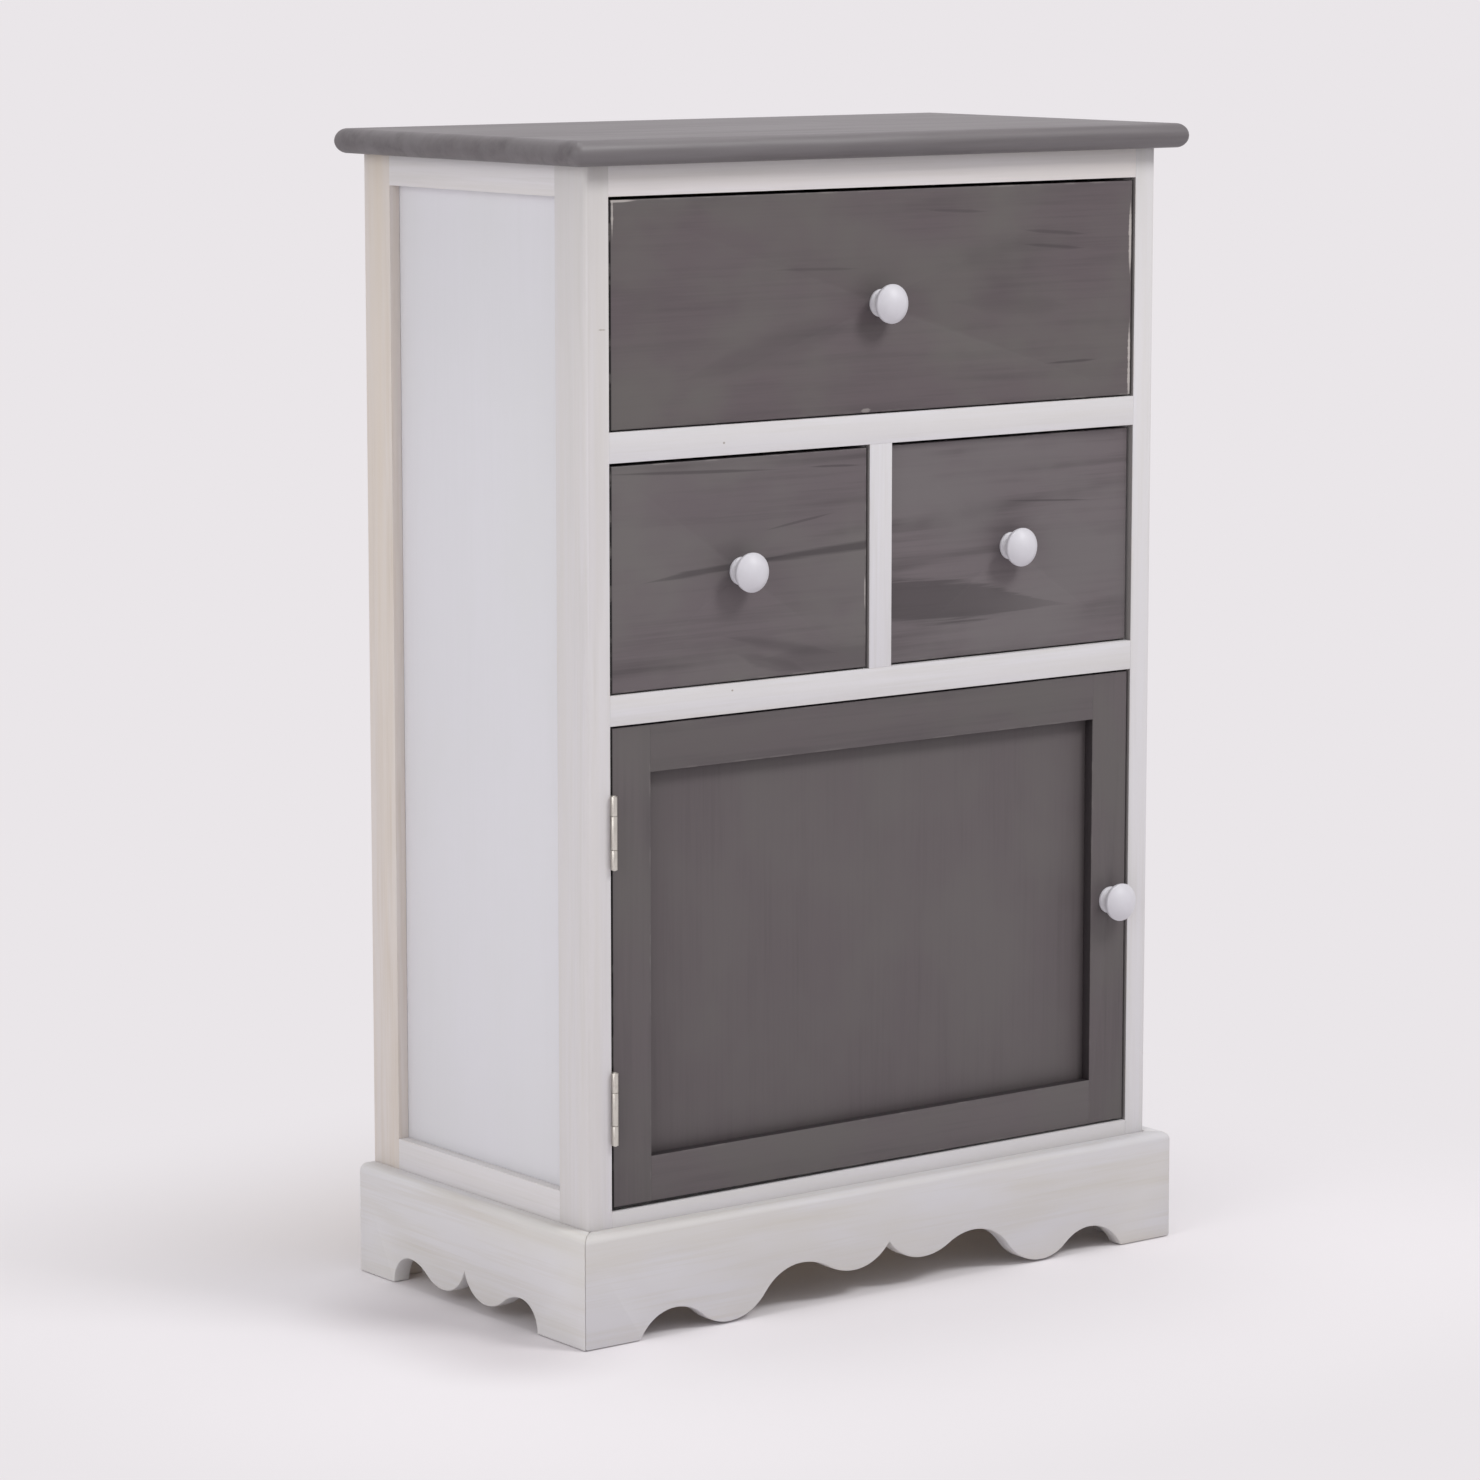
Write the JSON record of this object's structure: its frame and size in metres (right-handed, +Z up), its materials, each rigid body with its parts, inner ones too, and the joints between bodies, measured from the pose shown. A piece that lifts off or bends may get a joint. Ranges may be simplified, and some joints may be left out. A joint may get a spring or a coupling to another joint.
{
  "type": "entryway cabinet",
  "caption": "Small washed-wood entryway cabinet with drawers above a framed door, a rounded overhanging top and scalloped skirts.",
  "frame": {"origin": "on the floor, at the middle of the cabinet's whole box in plan", "axes": "+Z up, the front with the door and the drawers faces -Y, +X to the right of someone facing it"},
  "size_m": [0.484, 0.2644, 0.73],
  "materials": {
    "white_wood": "white wash, matte, grain showing",
    "pale_grey_wood": "light grey wash, matte, grain showing",
    "grey_wood": "mid grey stain, matte, grain showing",
    "bare_wood": "unfinished pale wood",
    "white_knob": "satin white paint",
    "hinge_metal": "satin nickel",
    "screw_steel": "zinc plated",
    "catch_plastic": "plain white"
  },
  "bodies": {
    "case": {"top_board": "pale_grey_wood", "front_post_left": "white_wood", "front_post_right": "white_wood", "back_post_left": "white_wood", "back_post_right": "white_wood", "side_rail_top_left": "white_wood", "side_rail_top_right": "white_wood", "side_rail_bottom_left": "white_wood", "side_rail_bottom_right": "white_wood", "side_panel_left": "white_wood", "side_panel_right": "white_wood", "front_rail_top": "white_wood", "front_rail_middle": "white_wood", "front_rail_lower": "white_wood", "front_rail_bottom": "white_wood", "front_muntin": "white_wood", "back_panel": "bare_wood", "back_rail_top": "bare_wood", "back_rail_bottom": "bare_wood", "cupboard_bottom": "bare_wood", "drawer_deck": "bare_wood", "drawer_divider": "bare_wood", "drawer_runners": "bare_wood", "skirt_front": "white_wood", "skirt_left": "white_wood", "skirt_right": "white_wood", "hinge_frame_leaves": "hinge_metal", "hinge_pins": "hinge_metal", "hinge_frame_screws": "screw_steel", "catch_magnet": "catch_plastic"},
    "door": {"door_stile_left": "grey_wood", "door_stile_right": "grey_wood", "door_rail_top": "grey_wood", "door_rail_bottom": "grey_wood", "door_panel": "grey_wood", "door_knob": "white_knob", "hinge_door_leaves": "hinge_metal", "catch_plate": "screw_steel", "door_screws": "screw_steel"},
    "top_drawer": {"top_drawer_front": "grey_wood", "top_drawer_side_left": "bare_wood", "top_drawer_side_right": "bare_wood", "top_drawer_back": "bare_wood", "top_drawer_bottom": "bare_wood", "top_drawer_knob": "white_knob", "top_drawer_knob_screw": "screw_steel"},
    "left_drawer": {"left_drawer_front": "grey_wood", "left_drawer_side_left": "bare_wood", "left_drawer_side_right": "bare_wood", "left_drawer_back": "bare_wood", "left_drawer_bottom": "bare_wood", "left_drawer_knob": "white_knob", "left_drawer_knob_screw": "screw_steel"},
    "right_drawer": {"right_drawer_front": "grey_wood", "right_drawer_side_left": "bare_wood", "right_drawer_side_right": "bare_wood", "right_drawer_back": "bare_wood", "right_drawer_bottom": "bare_wood", "right_drawer_knob": "white_knob", "right_drawer_knob_screw": "screw_steel"}
  },
  "joints": [
    {"name": "top_drawer_slide", "type": "slide", "parent": "case", "child": "top_drawer", "axis": [0, -1, 0], "range_m": [0, 0.17]},
    {"name": "left_drawer_slide", "type": "slide", "parent": "case", "child": "left_drawer", "axis": [0, -1, 0], "range_m": [0, 0.17]},
    {"name": "right_drawer_slide", "type": "slide", "parent": "case", "child": "right_drawer", "axis": [0, -1, 0], "range_m": [0, 0.17]},
    {"name": "door_hinge", "type": "hinge", "parent": "case", "child": "door", "pos_m": [-0.207, -0.11745, 0.2295], "axis": [0, 0, -1], "range_deg": [0, 175]}
  ]
}
